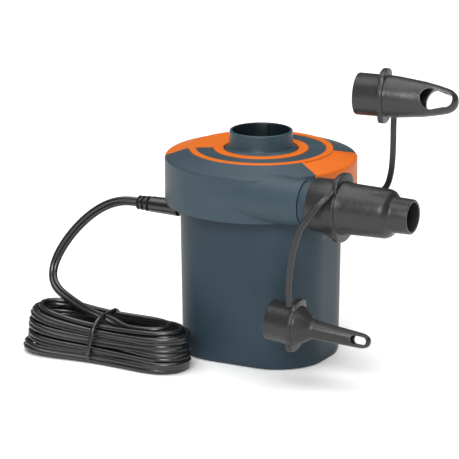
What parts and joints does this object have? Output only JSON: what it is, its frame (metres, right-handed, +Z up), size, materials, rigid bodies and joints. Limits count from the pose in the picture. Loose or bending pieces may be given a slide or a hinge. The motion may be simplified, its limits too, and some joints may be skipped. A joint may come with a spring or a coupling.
{
  "type": "electric air mattress pump",
  "caption": "Mains pump with a round fan head on a tapered canister, a top intake port, a side outlet, tethered valve adapters and a coiled flat cord.",
  "frame": {"origin": "centre of the flat base, on the axis of the rotor and of the round head", "axes": "+X along the outlet, from the duct to the adapter's tip; +Z up along the rotor; the duct lies on the -Y side of the head"},
  "size_m": [0.2502, 0.1591, 0.1737],
  "materials": {
    "head_shell": "fine moulded texture, satin",
    "canister_shell": "fine moulded texture, satin",
    "collar_plastic": "smooth satin",
    "orange_trim": "satin",
    "adapter_rubber": "satin soft vinyl",
    "cord_sheath": "satin vinyl",
    "fan_plastic": "satin",
    "steel": "bright",
    "lamination_iron": "stacked sheet edges",
    "copper": "enamelled wire",
    "carbon": "dry carbon",
    "brass": "bright",
    "board": "fibre board"
  },
  "bodies": {
    "housing": {"upper_housing": "head_shell", "label_ring": "head_shell", "lower_housing": "canister_shell", "head_deck": "canister_shell", "base_cover": "canister_shell", "outlet_spigot": "canister_shell", "port_collar": "collar_plastic", "intake_grille": "collar_plastic", "trim_ring": "orange_trim", "switch_frame": "adapter_rubber", "cord_lead": "cord_sheath", "cord_hank": "cord_sheath", "cord_tail": "cord_sheath", "cord_tie": "cord_sheath", "strain_relief": "cord_sheath", "plug_body": "cord_sheath", "volute_casing": "fan_plastic", "volute_cover": "fan_plastic", "upper_bracket": "fan_plastic", "lower_bracket": "fan_plastic", "upper_bearing": "steel", "lower_bearing": "steel", "brush_spring_1": "steel", "brush_spring_2": "steel", "head_screw_1": "steel", "head_screw_2": "steel", "head_screw_3": "steel", "base_screw_1": "steel", "base_screw_2": "steel", "base_screw_3": "steel", "base_screw_4": "steel", "stator_core": "lamination_iron", "field_coil_1": "copper", "field_coil_2": "copper", "brush_1": "carbon", "brush_2": "carbon", "brush_holder_1": "brass", "brush_holder_2": "brass", "plug_pin_1": "brass", "plug_pin_2": "brass", "cord_clamp": "board"},
    "rotor": {"motor_shaft": "steel", "armature_core": "lamination_iron", "winding_upper": "copper", "winding_lower": "copper", "commutator": "copper", "cooling_fan": "fan_plastic", "impeller": "fan_plastic", "impeller_nut": "steel"},
    "switch": {"switch_rocker": "orange_trim"},
    "large_adapter": {"nozzle_adapter": "adapter_rubber"},
    "upper_small_adapter": {"upper_tether": "adapter_rubber", "upper_valve_adapter": "adapter_rubber"},
    "lower_small_adapter": {"lower_tether": "adapter_rubber", "lower_valve_adapter": "adapter_rubber"}
  },
  "joints": [
    {"name": "rotor_spin", "type": "hinge", "parent": "housing", "child": "rotor", "pos_m": [0, 0, 0.05], "axis": [0, 0, 1], "continuous": true},
    {"name": "switch_rock", "type": "hinge", "parent": "housing", "child": "switch", "pos_m": [0, 0.03373, 0.066], "axis": [1, 0, 0], "range_deg": [0, 12]},
    {"name": "adapter_slide", "type": "slide", "parent": "housing", "child": "large_adapter", "axis": [1, 0, 0], "range_m": [0, 0.022]},
    {"name": "upper_tether_flex", "type": "hinge", "parent": "large_adapter", "child": "upper_small_adapter", "pos_m": [0.069, -0.0226, 0.0982], "axis": [1, 0, 0], "range_deg": [-30, 10], "stiffness_Nm_per_rad": 0.08},
    {"name": "lower_tether_flex", "type": "hinge", "parent": "large_adapter", "child": "lower_small_adapter", "pos_m": [0.068, -0.0509, 0.109], "axis": [1, 0, 0], "range_deg": [-35, 1], "stiffness_Nm_per_rad": 0.08}
  ]
}
